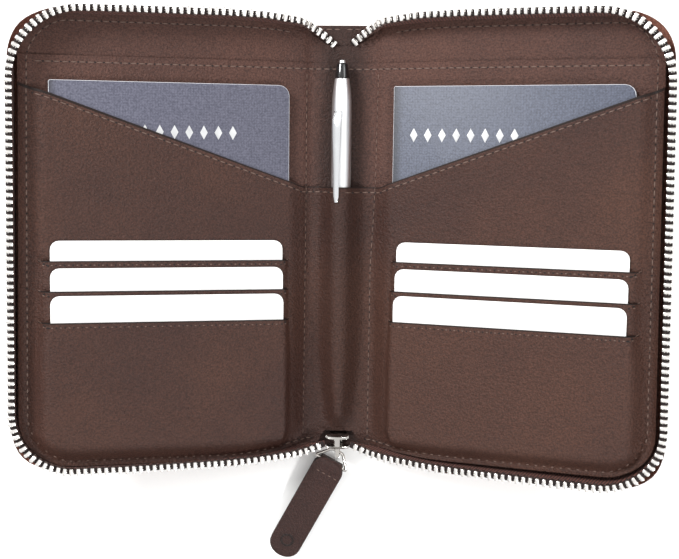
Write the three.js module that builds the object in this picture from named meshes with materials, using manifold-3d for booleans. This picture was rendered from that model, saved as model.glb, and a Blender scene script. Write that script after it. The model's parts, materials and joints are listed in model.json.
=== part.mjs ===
// Zip-around travel wallet lying open on its spine, with its contents in place.
// Millimetres, +Z up, +Y towards the head of the wallet, origin under the middle of the spine.
import * as THREE from 'three';
import Module from 'manifold-3d';

const manifold = await Module();
manifold.setup();

// ---- driving dimensions -------------------------------------------------------------------
const OPEN_ANGLE = 15.5 * Math.PI / 180;
const HINGE_X = 13;

const COVER = { thickness: 1.2, halfHeight: 82.8, spineHalfHeight: 81.3, inner: 1.5, outer: 108.2, radius: 17 };
const BOARD = { low: 1.4, high: 2.2, inner: 4, outer: 104, halfHeight: 77, radius: 14 };
const LINING = { low: 2.4, high: 3.1, inner: 3, outer: 106.3, halfHeight: 81.3, radius: 16 };
const SLIP = { low: 3.3, high: 4, outer: 106, top: 67.1, bottom: -81 };
const PINCH = { reach: 24, bottom: -77.8 };
const NOTCH = { depthTop: 72.5, slopeEnd: 4.6 };

const PASSPORT = { inner: 8.7, width: 88, top: 58.3, height: 125, low: 4.2, thickness: 2.4, radius: 4 };
const CARD = { inner: 11.3, width: 85.6, height: 54, thickness: 0.76, radius: 3.2 };
const CARD_TOPS = [0.1, -9.9, -19.9];
const CARD_LEVELS = [7.65, 9.3, 10.95];
const LIPS = [-7.3, -18.3, -29.7];

const POCKET = {
  thickness: 0.65,
  base: 4.15,
  levels: [6.8, 8.55, 10.2, 11.85],
  inner: 3,
  outer: 105.8,
  topInner: 20.4,
  topOuter: 57,
  bottom: -80.8,
  rampTop: -74.1,
  rampBottom: -76.4,
};
const DIVIDER = { thickness: 0.45, lowering: 0.1, inner: 10.9, outer: 97.4, belowCard: 1, lipGap: 0.4 };

const ZIP = {
  start: 14.5,
  railWidth: 2.6,
  railLow: 8.65,
  railHigh: 12.85,
  tapeLow: 1.45,
  tapeHigh: 8.5,
  tapeThickness: 0.6,
  cornerSteps: 9,
};
const CHAIN_PATH = {
  side: 111, top: 84, bottom: -85.8, radius: 27, startTop: 82.8, middleBottom: -84.5, startBottom: -81.3,
};
const ROOT_PATH = {
  side: 107.1, top: 82, bottom: -82, radius: 16.6, startTop: 81.9, middleBottom: -82, startBottom: -80.7,
};

const SPINE_LAYERS = { halfWidth: 11.3, liningLow: 1.4, liningHigh: 1.9, slipLow: 2.1, slipHigh: 2.7 };
const SPINE_BOTTOM = -74.4;
const SLEEVE = { halfWidth: 7.8, low: 2.9, thickness: 0.5 };

const PEN = { z: 6.45, radius: 3.6, bottom: -70, top: 68 };

const SLIDER = {
  y: -77.9,
  channel: 3,
  plate: 0.9,
  bottom: 1.5,
  top: 10.3,
  mouthHalfWidth: 4.5,
  tailHalfWidth: 3.3,
};
const EYE = { y: -82.5, z: 6 };
const PULL_YAW = -28 * Math.PI / 180;
const RING = { wire: 0.6, length: 5.8, topHalf: 2.4, bottomHalf: 6.9, droop: 10 * Math.PI / 180 };
const TAB = { length: 45.5, halfWidth: 6.3, topHalf: 4.4, thickness: 2.4, foldThickness: 3.8, droop: 4.5 * Math.PI / 180 };

// ---- materials ----------------------------------------------------------------------------
const LEATHER = { color: 0x4a3630, roughness: 0.6, metalness: 0 };
const LEATHER_INNER = { color: 0x523d34, roughness: 0.62, metalness: 0 };
const BOARD_GREY = { color: 0x8c8272, roughness: 0.9, metalness: 0 };
const FABRIC = { color: 0x5a3a30, roughness: 0.9, metalness: 0 };
const TAPE = { color: 0x6b3f35, roughness: 0.9, metalness: 0 };
const NICKEL = { color: 0xd8d6d2, roughness: 0.3, metalness: 1 };
const STEEL = { color: 0xb9b9bb, roughness: 0.35, metalness: 1 };
const WHITE_CARD = { color: 0xf6f6f4, roughness: 0.45, metalness: 0 };
const BLUE_COVER = { color: 0x5f6579, roughness: 0.75, metalness: 0 };
const PAPER = { color: 0xe9e4d6, roughness: 0.9, metalness: 0 };
const BLACK = { color: 0x1c1c1e, roughness: 0.4, metalness: 0 };

// ---- helpers ------------------------------------------------------------------------------
const root = new THREE.Group();
root.name = 'travel_document_organizer';

function addMesh(parent, name, geometry, look) {
  const mesh = new THREE.Mesh(geometry, new THREE.MeshStandardMaterial(look));
  mesh.name = name;
  parent.add(mesh);
  return mesh;
}

// Flat plate from an outline of [x, y] points, between two heights.
function plate(points, low, high) {
  const shape = new THREE.Shape(points.map(([x, y]) => new THREE.Vector2(x, y)));
  const geometry = new THREE.ExtrudeGeometry(shape, { depth: high - low, bevelEnabled: false });
  geometry.translate(0, 0, low);
  return geometry;
}

function box(x0, x1, y0, y1, z0, z1) {
  const geometry = new THREE.BoxGeometry(x1 - x0, y1 - y0, z1 - z0);
  geometry.translate((x0 + x1) / 2, (y0 + y1) / 2, (z0 + z1) / 2);
  return geometry;
}

// Profile of [x, z] points drawn out along Y.
function drawn(points, y0, y1) {
  const geometry = plate(points, 0, y1 - y0);
  geometry.rotateX(Math.PI / 2);
  geometry.translate(0, y1, 0);
  return geometry;
}

function toSolid(geometry) {
  const merged = welded(geometry);
  return new manifold.Manifold(new manifold.Mesh({
    numProp: 3,
    vertProperties: merged.vertices,
    triVerts: merged.triangles,
  }));
}

// Shared vertices are found by rounding, as an extrusion repeats them along its edges.
function welded(geometry) {
  const source = geometry.index ? geometry.toNonIndexed() : geometry;
  const position = source.getAttribute('position');
  const seen = new Map();
  const vertices = [];
  const triangles = [];
  for (let i = 0; i < position.count; i += 1) {
    const point = [position.getX(i), position.getY(i), position.getZ(i)];
    const key = point.map((value) => Math.round(value * 1e5)).join();
    if (!seen.has(key)) {
      seen.set(key, vertices.length / 3);
      vertices.push(...point);
    }
    triangles.push(seen.get(key));
  }
  return { vertices: new Float32Array(vertices), triangles: new Uint32Array(triangles) };
}

function fromSolid(solid) {
  const mesh = solid.getMesh();
  const geometry = new THREE.BufferGeometry();
  const values = [];
  for (let i = 0; i < mesh.vertProperties.length; i += mesh.numProp) {
    values.push(mesh.vertProperties[i], mesh.vertProperties[i + 1], mesh.vertProperties[i + 2]);
  }
  geometry.setAttribute('position', new THREE.Float32BufferAttribute(values, 3));
  geometry.setIndex(Array.from(mesh.triVerts));
  return geometry;
}

function joined(...geometries) {
  const solids = geometries.map(toSolid);
  return fromSolid(solids.slice(1).reduce((sum, solid) => sum.add(solid), solids[0]));
}

function cut(geometry, ...tools) {
  return fromSolid(tools.reduce((rest, tool) => rest.subtract(toSolid(tool)), toSolid(geometry)));
}

function common(first, second) {
  return fromSolid(toSolid(first).intersect(toSolid(second)));
}

// Quarter turn of points round a corner centre, from one angle to another in degrees.
function arc(cx, cy, radius, from, to, steps) {
  const points = [];
  for (let i = 0; i <= steps; i += 1) {
    const angle = (from + (to - from) * i / steps) * Math.PI / 180;
    points.push([cx + radius * Math.cos(angle), cy + radius * Math.sin(angle)]);
  }
  return points;
}

// Outline of one leaf layer: straight by the spine, rounded at the two outer corners.
function leafOutline(inner, outer, top, bottom, radius, innerTop = top, innerBottom = bottom) {
  const reach = PINCH.reach;
  return [
    [inner, innerBottom],
    [reach, bottom],
    ...arc(outer - radius, bottom + radius, radius, -90, 0, 8),
    ...arc(outer - radius, top - radius, radius, 0, 90, 8),
    [reach, top],
    [inner, innerTop],
  ];
}

// Rounded rectangle; each corner takes its own radius, in the order bottom left, bottom right,
// top right, top left.
function roundedRectangle(x0, x1, y0, y1, radii, steps = 4) {
  return [
    ...arc(x0 + radii[0], y0 + radii[0], radii[0], 180, 270, steps),
    ...arc(x1 - radii[1], y0 + radii[1], radii[1], 270, 360, steps),
    ...arc(x1 - radii[2], y1 - radii[2], radii[2], 0, 90, steps),
    ...arc(x0 + radii[3], y1 - radii[3], radii[3], 90, 180, steps),
  ];
}

// Closed strip that joins a ring of four points at every station and caps both ends.
function strip(stations) {
  const points = stations.flat();
  const index = [];
  const quad = (a, b, c, d) => index.push(a, b, c, a, c, d);
  for (let i = 0; i + 1 < stations.length; i += 1) {
    for (let k = 0; k < 4; k += 1) {
      const a = 4 * i + k;
      const b = 4 * i + (k + 1) % 4;
      quad(a, b, b + 4, a + 4);
    }
  }
  quad(3, 2, 1, 0);
  const last = 4 * (stations.length - 1);
  quad(last, last + 1, last + 2, last + 3);
  const geometry = new THREE.BufferGeometry();
  geometry.setAttribute('position', new THREE.Float32BufferAttribute(points.flat(), 3));
  geometry.setIndex(index);
  const solid = toSolid(geometry);
  if (solid.volume() > 0) {
    return geometry;
  }
  const flipped = [];
  for (let i = 0; i < index.length; i += 3) {
    flipped.push(index[i], index[i + 2], index[i + 1]);
  }
  geometry.setIndex(flipped);
  return geometry;
}

// ---- zip path round one leaf --------------------------------------------------------------
// Stations run from the head of the spine round the leaf to its foot.
function zipPath(path) {
  const { side, top, bottom, radius, startTop, middleBottom, startBottom } = path;
  const steps = ZIP.cornerSteps;
  const points = [
    [ZIP.start, startTop],
    [ZIP.start + 10, top],
    [50, top],
    ...arc(side - radius, top - radius, radius, 90, 0, steps),
    [side, 20],
    [side, -20],
    ...arc(side - radius, bottom + radius, radius, 0, -90, steps),
    [60, bottom],
    [34, middleBottom],
    [ZIP.start, startBottom],
  ];
  return points;
}

// Unit normals that point away from the leaf at each station.
function outwardNormals(points) {
  return points.map((point, i) => {
    const before = points[Math.max(i - 1, 0)];
    const after = points[Math.min(i + 1, points.length - 1)];
    const dx = after[0] - before[0];
    const dy = after[1] - before[1];
    const length = Math.hypot(dx, dy);
    return [-dy / length, dx / length];
  });
}

function zipTape(side) {
  const low = zipPath(ROOT_PATH);
  const high = zipPath(CHAIN_PATH);
  const lowNormals = outwardNormals(low);
  const highNormals = outwardNormals(high);
  const half = ZIP.tapeThickness / 2;
  return strip(low.map((point, i) => {
    const [nx, ny] = lowNormals[i];
    const [mx, my] = highNormals[i];
    const [x, y] = point;
    const [v, w] = high[i];
    return [
      [side * (x - nx * half), y - ny * half, ZIP.tapeLow],
      [side * (x + nx * half), y + ny * half, ZIP.tapeLow],
      [side * (v + mx * half), w + my * half, ZIP.tapeHigh],
      [side * (v - mx * half), w - my * half, ZIP.tapeHigh],
    ];
  }));
}

function zipRail(side) {
  const path = zipPath(CHAIN_PATH);
  const normals = outwardNormals(path);
  const half = ZIP.railWidth / 2;
  return strip(path.map(([x, y], i) => {
    const [nx, ny] = normals[i];
    return [
      [side * (x - nx * half), y - ny * half, ZIP.railLow],
      [side * (x + nx * half), y + ny * half, ZIP.railLow],
      [side * (x + nx * half), y + ny * half, ZIP.railHigh],
      [side * (x - nx * half), y - ny * half, ZIP.railHigh],
    ];
  }));
}

// ---- leaf layers --------------------------------------------------------------------------
function mirrored(points, side) {
  return points.map(([x, y]) => [side * x, y]);
}

// Cross-section of the front pocket at one card level: flat by both seams, raised between them.
function pocketProfile(level) {
  const { base, inner, outer, thickness, levels } = POCKET;
  const lower = [
    [inner, base],
    [3.6, base],
    [8.4, levels[0]],
    [9.6, levels[0]],
    [11.1, level],
    [97.1, level],
    [99.2, levels[0]],
    [103.4, base],
    [outer, base],
  ];
  const upper = lower.map(([x, z]) => [x, z + thickness]).reverse();
  return [...lower, ...upper];
}

function frontPocket(side) {
  const { levels, topInner, topOuter, bottom, rampTop, rampBottom, inner, outer, base, thickness } = POCKET;
  const edges = [topOuter + 1, ...LIPS, rampTop];
  const bands = levels.map((level, i) => drawn(pocketProfile(level), edges[i + 1], edges[i]));
  const top = levels[levels.length - 1];
  const slope = [
    [bottom, base],
    [rampBottom, base],
    [rampTop, top],
    [rampTop + 0.01, top],
    [rampTop + 0.01, top + thickness],
    [rampTop, top + thickness],
    [rampBottom, base + thickness],
    [bottom, base + thickness],
  ];
  const foot = plate(slope, 11.1, 97.1);
  // The slope is drawn along X here: its profile holds [y, z].
  foot.applyMatrix4(new THREE.Matrix4().makeBasis(
    new THREE.Vector3(0, 1, 0),
    new THREE.Vector3(0, 0, 1),
    new THREE.Vector3(1, 0, 0),
  ));
  const corners = [cornerFoot(true), cornerFoot(false)];
  const sheet = joined(...bands, foot, ...corners);
  const trim = plate([
    [inner, PINCH.bottom + 0.4],
    [PINCH.reach, bottom],
    ...arc(outer - 15.4, bottom + 15.4, 15.4, -90, 0, 8),
    [outer, topOuter - 1],
    [outer - 4, topOuter - 1.5],
    [inner, topInner],
  ], 0, 20);
  const geometry = common(sheet, trim);
  if (side < 0) {
    geometry.applyMatrix4(new THREE.Matrix4().makeScale(-1, 1, 1));
    flipWinding(geometry);
  }
  return geometry;
}

// Foot of the front pocket beside the cards, where the side slope meets the bottom slope.
function cornerFoot(nearSpine) {
  const { levels, base, rampTop, rampBottom, bottom, inner, outer, thickness } = POCKET;
  const top = levels[levels.length - 1];
  const columns = nearSpine
    ? [[inner, base], [3.6, base], [8.4, levels[0]], [9.6, levels[0]], [11.11, top]]
    : [[97.09, top], [99.2, levels[0]], [103.4, base], [outer, base]];
  const fall = (height, share) => base + (height - base) * share;
  const stations = [[rampTop + 0.01, 1], [rampTop, 1], [rampBottom, 0], [bottom, 0]];
  const vertices = [];
  const width = columns.length;
  for (const lift of [0, thickness]) {
    for (const [y, share] of stations) {
      for (const [x, height] of columns) {
        vertices.push(x, y, fall(height, share) + lift);
      }
    }
  }
  const index = [];
  const at = (layer, row, column) => (layer * stations.length + row) * width + column;
  const quad = (a, b, c, d) => index.push(a, b, c, a, c, d);
  for (let r = 0; r + 1 < stations.length; r += 1) {
    for (let c = 0; c + 1 < width; c += 1) {
      quad(at(0, r, c), at(0, r, c + 1), at(0, r + 1, c + 1), at(0, r + 1, c));
      quad(at(1, r, c), at(1, r + 1, c), at(1, r + 1, c + 1), at(1, r, c + 1));
    }
    quad(at(0, r, 0), at(0, r + 1, 0), at(1, r + 1, 0), at(1, r, 0));
    const end = width - 1;
    quad(at(0, r, end), at(1, r, end), at(1, r + 1, end), at(0, r + 1, end));
  }
  const last = stations.length - 1;
  for (let c = 0; c + 1 < width; c += 1) {
    quad(at(0, 0, c), at(1, 0, c), at(1, 0, c + 1), at(0, 0, c + 1));
    quad(at(0, last, c), at(0, last, c + 1), at(1, last, c + 1), at(1, last, c));
  }
  const geometry = new THREE.BufferGeometry();
  geometry.setAttribute('position', new THREE.Float32BufferAttribute(vertices, 3));
  geometry.setIndex(index);
  return geometry;
}

function flipWinding(geometry) {
  const index = Array.from(geometry.getIndex().array);
  const flipped = [];
  for (let i = 0; i < index.length; i += 3) {
    flipped.push(index[i], index[i + 2], index[i + 1]);
  }
  geometry.setIndex(flipped);
}

// A booklet with its own spine on the -X side: a folded cover round a block of pages.
function passport(parent, name, x0) {
  const { width, top, height, low, thickness, radius } = PASSPORT;
  const y0 = top - height;
  const shell = 0.4;
  const outline = roundedRectangle(x0, x0 + width, y0, top, [0.8, radius, radius, 0.8]);
  const cover = plate(outline, low, low + thickness);
  const slot = box(x0 + 0.6, x0 + width + 1, y0 - 1, top + 1, low + shell, low + thickness - shell);
  const pages = plate(
    roundedRectangle(x0 + 0.9, x0 + width - 1, y0 + 0.8, top - 0.8, [0.4, radius, radius, 0.4]),
    low + shell + 0.15,
    low + thickness - shell - 0.15,
  );
  addMesh(parent, `${name}_passport_cover`, cut(cover, slot), BLUE_COVER);
  addMesh(parent, `${name}_passport_pages`, pages, PAPER);
}

const CARD_NAMES = ['upper', 'middle', 'lower'];

function buildLeaf(name, side) {
  const leaf = new THREE.Group();
  leaf.name = `${name}_leaf`;
  leaf.position.set(side * HINGE_X, 0, 0);
  leaf.rotation.y = -side * OPEN_ANGLE;
  root.add(leaf);

  const cover = leafOutline(
    COVER.inner, COVER.outer, COVER.halfHeight, -COVER.halfHeight, COVER.radius,
    COVER.spineHalfHeight, -COVER.spineHalfHeight,
  );
  addMesh(leaf, `${name}_outer_cover`, plate(mirrored(cover, side), 0, COVER.thickness), LEATHER);

  const board = leafOutline(BOARD.inner, BOARD.outer, BOARD.halfHeight, -BOARD.halfHeight, BOARD.radius);
  addMesh(leaf, `${name}_stiffener_board`, plate(mirrored(board, side), BOARD.low, BOARD.high), BOARD_GREY);

  const lining = leafOutline(
    LINING.inner, LINING.outer, LINING.halfHeight, -LINING.halfHeight, LINING.radius,
    LINING.halfHeight - 2.5, PINCH.bottom,
  );
  addMesh(leaf, `${name}_lining`, plate(mirrored(lining, side), LINING.low, LINING.high), LEATHER_INNER);

  const slip = [
    [LINING.inner, PINCH.bottom + 0.2],
    [PINCH.reach, SLIP.bottom],
    ...arc(SLIP.outer - 15.7, SLIP.bottom + 15.7, 15.7, -90, 0, 8),
    [SLIP.outer, SLIP.top],
    [LINING.inner, SLIP.top],
  ];
  addMesh(leaf, `${name}_slip_pocket`, plate(mirrored(slip, side), SLIP.low, SLIP.high), LEATHER_INNER);

  addMesh(leaf, `${name}_front_pocket`, frontPocket(side), LEATHER);

  CARD_NAMES.forEach((label, i) => {
    const top = CARD_TOPS[i];
    const low = CARD_LEVELS[i];
    const card = roundedRectangle(
      CARD.inner, CARD.inner + CARD.width, top - CARD.height, top, Array(4).fill(CARD.radius),
    );
    addMesh(leaf, `${name}_card_${label}`, plate(mirrored(card, side), low, low + CARD.thickness), WHITE_CARD);

    const dividerLow = POCKET.levels[i] + DIVIDER.lowering;
    const divider = roundedRectangle(
      DIVIDER.inner, DIVIDER.outer, top - CARD.height - DIVIDER.belowCard + 0.6, LIPS[i] - DIVIDER.lipGap,
      [2, 2, 0.5, 0.5],
    );
    addMesh(
      leaf, `${name}_card_divider_${label}`,
      plate(mirrored(divider, side), dividerLow, dividerLow + DIVIDER.thickness), FABRIC,
    );
  });

  // Both booklets read the same way round, so only their place is mirrored.
  passport(leaf, name, side > 0 ? PASSPORT.inner : -PASSPORT.inner - PASSPORT.width);

  addMesh(leaf, `${name}_zip_tape`, zipTape(side), TAPE);
  addMesh(leaf, `${name}_zip_teeth`, zipRail(side), NICKEL);
}

buildLeaf('left', -1);
buildLeaf('right', 1);

// ---- spine --------------------------------------------------------------------------------
const spine = new THREE.Group();
spine.name = 'spine';
root.add(spine);

const coverHalf = HINGE_X - 0.3;
addMesh(
  spine, 'spine_cover',
  box(-coverHalf, coverHalf, -COVER.spineHalfHeight, COVER.spineHalfHeight, 0, COVER.thickness), LEATHER,
);

const layerHalf = SPINE_LAYERS.halfWidth;
const liningTop = [
  [-layerHalf, LINING.halfHeight - 4.5],
  [-NOTCH.slopeEnd - 2, NOTCH.depthTop],
  [NOTCH.slopeEnd + 2, NOTCH.depthTop],
  [layerHalf, LINING.halfHeight - 4.5],
];
addMesh(
  spine, 'spine_lining',
  plate([[layerHalf, SPINE_BOTTOM], ...liningTop.reverse(), [-layerHalf, SPINE_BOTTOM]],
    SPINE_LAYERS.liningLow, SPINE_LAYERS.liningHigh),
  LEATHER_INNER,
);
addMesh(
  spine, 'spine_slip_pocket',
  box(-layerHalf, layerHalf, SPINE_BOTTOM, SLIP.top, SPINE_LAYERS.slipLow, SPINE_LAYERS.slipHigh),
  LEATHER_INNER,
);

// Pen sleeve: a flat flange on each side and a tunnel over the pen.
function sleeveProfile() {
  const { halfWidth, low, thickness } = SLEEVE;
  const inner = PEN.radius + 0.15;
  const outer = inner + thickness;
  return [
    [halfWidth, low],
    [halfWidth, low + thickness],
    [outer, low + thickness],
    ...arc(0, PEN.z, outer, 0, 180, 14),
    [-outer, low + thickness],
    [-halfWidth, low + thickness],
    [-halfWidth, low],
    [-inner, low],
    ...arc(0, PEN.z, inner, 180, 0, 14),
    [inner, low],
  ];
}
addMesh(spine, 'pen_sleeve', drawn(sleeveProfile(), SPINE_BOTTOM, POCKET.topInner), LEATHER);

// Ends of the two tooth rows, where they leave the leaves for the slider and for the head.
function toothRun(from, to, half, height) {
  const start = new THREE.Vector3(...from);
  const end = new THREE.Vector3(...to);
  const along = end.clone().sub(start);
  const geometry = new THREE.BoxGeometry(along.length(), half * 2, height);
  const rise = Math.atan2(along.z, Math.hypot(along.x, along.y));
  geometry.rotateY(-rise);
  geometry.rotateZ(Math.atan2(along.y, along.x));
  const middle = start.add(end).multiplyScalar(0.5);
  geometry.translate(middle.x, middle.y, middle.z);
  return geometry;
}
for (const [name, side] of [['left', -1], ['right', 1]]) {
  addMesh(
    spine, `${name}_zip_end_foot`,
    toothRun([side * 5.4, -79, 8.3], [side * 7.6, -79.9, 9.4], 1.1, 2.6), NICKEL,
  );
  addMesh(
    spine, `${name}_zip_end_head`,
    toothRun([side * 6, 74.6, 3.8], [side * 8.9, 78.6, 5.8], 1.1, 2), NICKEL,
  );
}
addMesh(spine, 'zip_bottom_stop', box(-1.6, 1.6, SLIDER.y - 1.1, SLIDER.y + 1.1, 1.5, 4), NICKEL);

// ---- slider, ring and pull tab ------------------------------------------------------------
function sliderPlate(y0, y1) {
  const { bottom, top, mouthHalfWidth, tailHalfWidth } = SLIDER;
  const middle = (bottom + top) / 2;
  return drawn([
    [-tailHalfWidth, bottom],
    [tailHalfWidth, bottom],
    [tailHalfWidth, middle - 1],
    [mouthHalfWidth, middle + 1.5],
    [mouthHalfWidth, top - 1],
    [mouthHalfWidth - 1, top],
    [1 - mouthHalfWidth, top],
    [-mouthHalfWidth, top - 1],
    [-mouthHalfWidth, middle + 1.5],
    [-tailHalfWidth, middle - 1],
  ], y0, y1);
}
const inside = SLIDER.y + SLIDER.channel / 2;
const outside = SLIDER.y - SLIDER.channel / 2;
const crownReach = EYE.y - 1.85;
const crown = cut(
  box(-0.8, 0.8, crownReach, outside - SLIDER.plate + 0.05, EYE.z - 2.6, EYE.z + 2.6),
  box(-2, 2, crownReach + 0.65, outside - SLIDER.plate - 0.15, EYE.z - 1.5, EYE.z + 1.5),
);
addMesh(spine, 'zip_slider', joined(
  sliderPlate(inside, inside + SLIDER.plate),
  sliderPlate(outside - SLIDER.plate, outside),
  box(-1, 1, outside - 0.2, inside + 0.2, SLIDER.top - 3.4, SLIDER.top - 0.3),
  crown,
), NICKEL);

const pull = new THREE.Group();
pull.name = 'pull';
pull.position.set(0, EYE.y, EYE.z);
pull.rotation.set(RING.droop, 0, PULL_YAW, 'ZXY');
root.add(pull);

// Wire ring: narrow at the slider, wide where the leather is folded round it.
function wireRing() {
  const { wire, length, topHalf, bottomHalf } = RING;
  const corners = [[topHalf, 0], [-topHalf, 0], [-bottomHalf, -length], [bottomHalf, -length]];
  const grow = (amount) => corners.map(([x, y]) => {
    const lift = y === 0 ? amount : -amount;
    return [x + Math.sign(x) * amount, y + lift];
  });
  const outer = grow(wire);
  const inner = grow(-wire);
  const shape = new THREE.Shape(outer.map(([x, y]) => new THREE.Vector2(x, y)));
  shape.holes.push(new THREE.Path(inner.map(([x, y]) => new THREE.Vector2(x, y))));
  const geometry = new THREE.ExtrudeGeometry(shape, { depth: wire * 2, bevelEnabled: false });
  geometry.translate(0, 0, -wire);
  return geometry;
}
addMesh(pull, 'pull_ring', wireRing(), STEEL);

const tab = new THREE.Group();
tab.name = 'tab';
tab.position.set(0, -RING.length, 0);
tab.rotation.x = TAB.droop - RING.droop;
pull.add(tab);

// Leather strip folded round the ring, with a tunnel for the wire and a rounded free end.
function foldedTab() {
  const { length, halfWidth, topHalf, thickness, foldThickness } = TAB;
  const head = 1.6;
  const foot = head - length;
  const strap = plate([
    [topHalf, head],
    [-topHalf, head],
    [-halfWidth, head - 4],
    ...arc(0, 0, 1, 180, 360, 12).map(([x, y]) => [x * halfWidth, foot + 5.6 + y * 5.6]),
    [halfWidth, head - 4],
  ], -thickness / 2, thickness / 2);
  // Side view of the fold, [y, z], drawn across the strap and trimmed to its outline.
  const loop = plate([
    [head, -foldThickness / 2 + 0.8],
    [head, foldThickness / 2 - 0.8],
    [head - 0.8, foldThickness / 2],
    [-1.6, foldThickness / 2],
    [-4, thickness / 2 - 0.01],
    [-4, -thickness / 2 + 0.01],
    [-1.6, -foldThickness / 2],
    [head - 0.8, -foldThickness / 2],
  ], -halfWidth - 1, halfWidth + 1);
  const acrossX = new THREE.Matrix4().makeBasis(
    new THREE.Vector3(0, 1, 0),
    new THREE.Vector3(0, 0, 1),
    new THREE.Vector3(1, 0, 0),
  );
  loop.applyMatrix4(acrossX);
  const outline = plate([
    [topHalf, head],
    [-topHalf, head],
    [-halfWidth, head - 4],
    [-halfWidth, -6],
    [halfWidth, -6],
    [halfWidth, head - 4],
  ], -5, 5);
  const tunnel = box(-halfWidth - 2, halfWidth + 2, -1.1, 1.1, -1.1, 1.1);
  return cut(joined(strap, common(loop, outline)), tunnel);
}
addMesh(tab, 'pull_tab', foldedTab(), LEATHER);

// ---- pen ----------------------------------------------------------------------------------
const pen = new THREE.Group();
pen.name = 'pen';
pen.position.set(0, 0, PEN.z);
root.add(pen);

// Turned part of the pen from [radius, y] pairs that start and end on the axis.
function turned(profile, segments = 20) {
  const points = profile.map(([radius, y]) => new THREE.Vector2(radius, y));
  return new THREE.LatheGeometry(points, segments);
}
const r = PEN.radius;
addMesh(pen, 'pen_barrel', turned([
  [0, -66.4], [1.5, -66.4], [2.6, -57], [3.3, -44], [r, -20], [r, 45], [2.5, 61.2], [0, 61.2],
]), STEEL);
addMesh(pen, 'pen_point', turned([
  [0, PEN.bottom], [0.4, PEN.bottom], [0.5, -68.6], [1.2, -66.6], [0, -66.6],
], 12), STEEL);
addMesh(pen, 'pen_collar', turned([[0, 61.4], [2.5, 61.4], [1.95, 66.6], [0, 66.6]]), BLACK);
addMesh(pen, 'pen_button', turned([
  [0, 66.8], [1.2, 66.8], [1.2, PEN.top - 0.3], [0.9, PEN.top], [0, PEN.top],
], 12), STEEL);

// Clip in side view, [y, z] above the pen axis, drawn across its width.
const clip = plate([
  [49, r + 0.75], [49, r + 1.35], [13.6, r + 1.35], [13.2, r + 0.95], [13.6, r + 0.75],
  [44.6, r + 0.75], [44.6, r + 0.15], [47.6, r + 0.1], [47.6, r + 0.75],
], -1.25, 1.25);
clip.applyMatrix4(new THREE.Matrix4().makeBasis(
  new THREE.Vector3(0, 1, 0),
  new THREE.Vector3(0, 0, 1),
  new THREE.Vector3(1, 0, 0),
));
addMesh(pen, 'pen_clip', clip, STEEL);

export default root;
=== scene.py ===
import json
import math

import bpy
from mathutils import Matrix, Vector

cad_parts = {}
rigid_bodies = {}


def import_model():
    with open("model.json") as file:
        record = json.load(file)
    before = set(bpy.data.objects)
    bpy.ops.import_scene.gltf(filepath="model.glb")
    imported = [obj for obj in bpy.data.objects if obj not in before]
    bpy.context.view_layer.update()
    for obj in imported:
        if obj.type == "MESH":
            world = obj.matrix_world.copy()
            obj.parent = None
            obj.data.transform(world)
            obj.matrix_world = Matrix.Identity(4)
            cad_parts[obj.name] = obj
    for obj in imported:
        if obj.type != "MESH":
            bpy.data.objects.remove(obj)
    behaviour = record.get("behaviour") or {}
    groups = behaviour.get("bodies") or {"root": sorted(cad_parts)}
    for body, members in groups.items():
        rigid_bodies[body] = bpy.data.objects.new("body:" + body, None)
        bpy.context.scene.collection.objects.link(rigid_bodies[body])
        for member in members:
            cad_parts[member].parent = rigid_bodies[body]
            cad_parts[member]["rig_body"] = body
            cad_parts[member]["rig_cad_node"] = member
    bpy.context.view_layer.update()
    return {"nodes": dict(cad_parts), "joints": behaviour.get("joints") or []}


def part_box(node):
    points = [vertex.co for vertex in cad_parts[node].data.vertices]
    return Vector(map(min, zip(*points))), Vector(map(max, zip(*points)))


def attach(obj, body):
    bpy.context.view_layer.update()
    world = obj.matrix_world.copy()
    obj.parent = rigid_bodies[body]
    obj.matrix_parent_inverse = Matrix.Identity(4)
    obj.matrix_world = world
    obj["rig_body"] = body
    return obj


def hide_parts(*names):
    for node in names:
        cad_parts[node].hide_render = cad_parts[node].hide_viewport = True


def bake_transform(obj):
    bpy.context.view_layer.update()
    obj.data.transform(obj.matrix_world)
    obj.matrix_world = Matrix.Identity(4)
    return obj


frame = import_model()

# ---- sizes, in millimetres -----------------------------------------------------------------
MM = 0.001
JOINTS = {joint["name"]: joint for joint in frame["joints"]}
HINGE = JOINTS["right_leaf_fold"]["pos_m"][0] / MM

# The leaves stand as steeply as the flat cover plate does between its two long edges.
low_corner, high_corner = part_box("right_outer_cover")
LEAF_RUN = 106.7
LEAF_RISE = (high_corner.z - low_corner.z) / MM
OPEN = math.asin((LEAF_RISE - 1.2 * math.cos(math.radians(15.5))) / LEAF_RUN)

FOLD_START, FOLD_END = 10.5, 16.5
COVER_HALF, COVER_SPINE, COVER_OUTER, COVER_RADIUS = 82.8, 81.3, 108.2, 17
LINING_HALF, LINING_OUTER, LINING_RADIUS = 81.3, 106.3, 16
SLIP_TOP, SLIP_BOTTOM, SLIP_OUTER = 67.1, -81.0, 106.0
POCKET_TOP_SPINE, POCKET_TOP_EDGE, POCKET_BOTTOM, POCKET_OUTER = 20.4, 57.0, -80.8, 105.8
LIPS = [-7.3, -18.3, -29.7]
LEVELS = [6.8, 8.55, 10.2, 11.85]
CARD_LEFT, CARD_RIGHT = 11.3, 96.9
PEN_Z = 6.45
PEN_OUTLINE = [(0.45, -70), (1.2, -66.5), (2.6, -57), (3.3, -44), (3.6, -20), (3.6, 45),
               (2.5, 61.2)]
TOOTH_PITCH = 2.54
COVER_THICK, LINING_THICK, SLIP_THICK, POCKET_THICK = 1.2, 0.6, 0.6, 0.62
SLIP_RADIUS, POCKET_RADIUS = 15.7, 15.4
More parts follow.
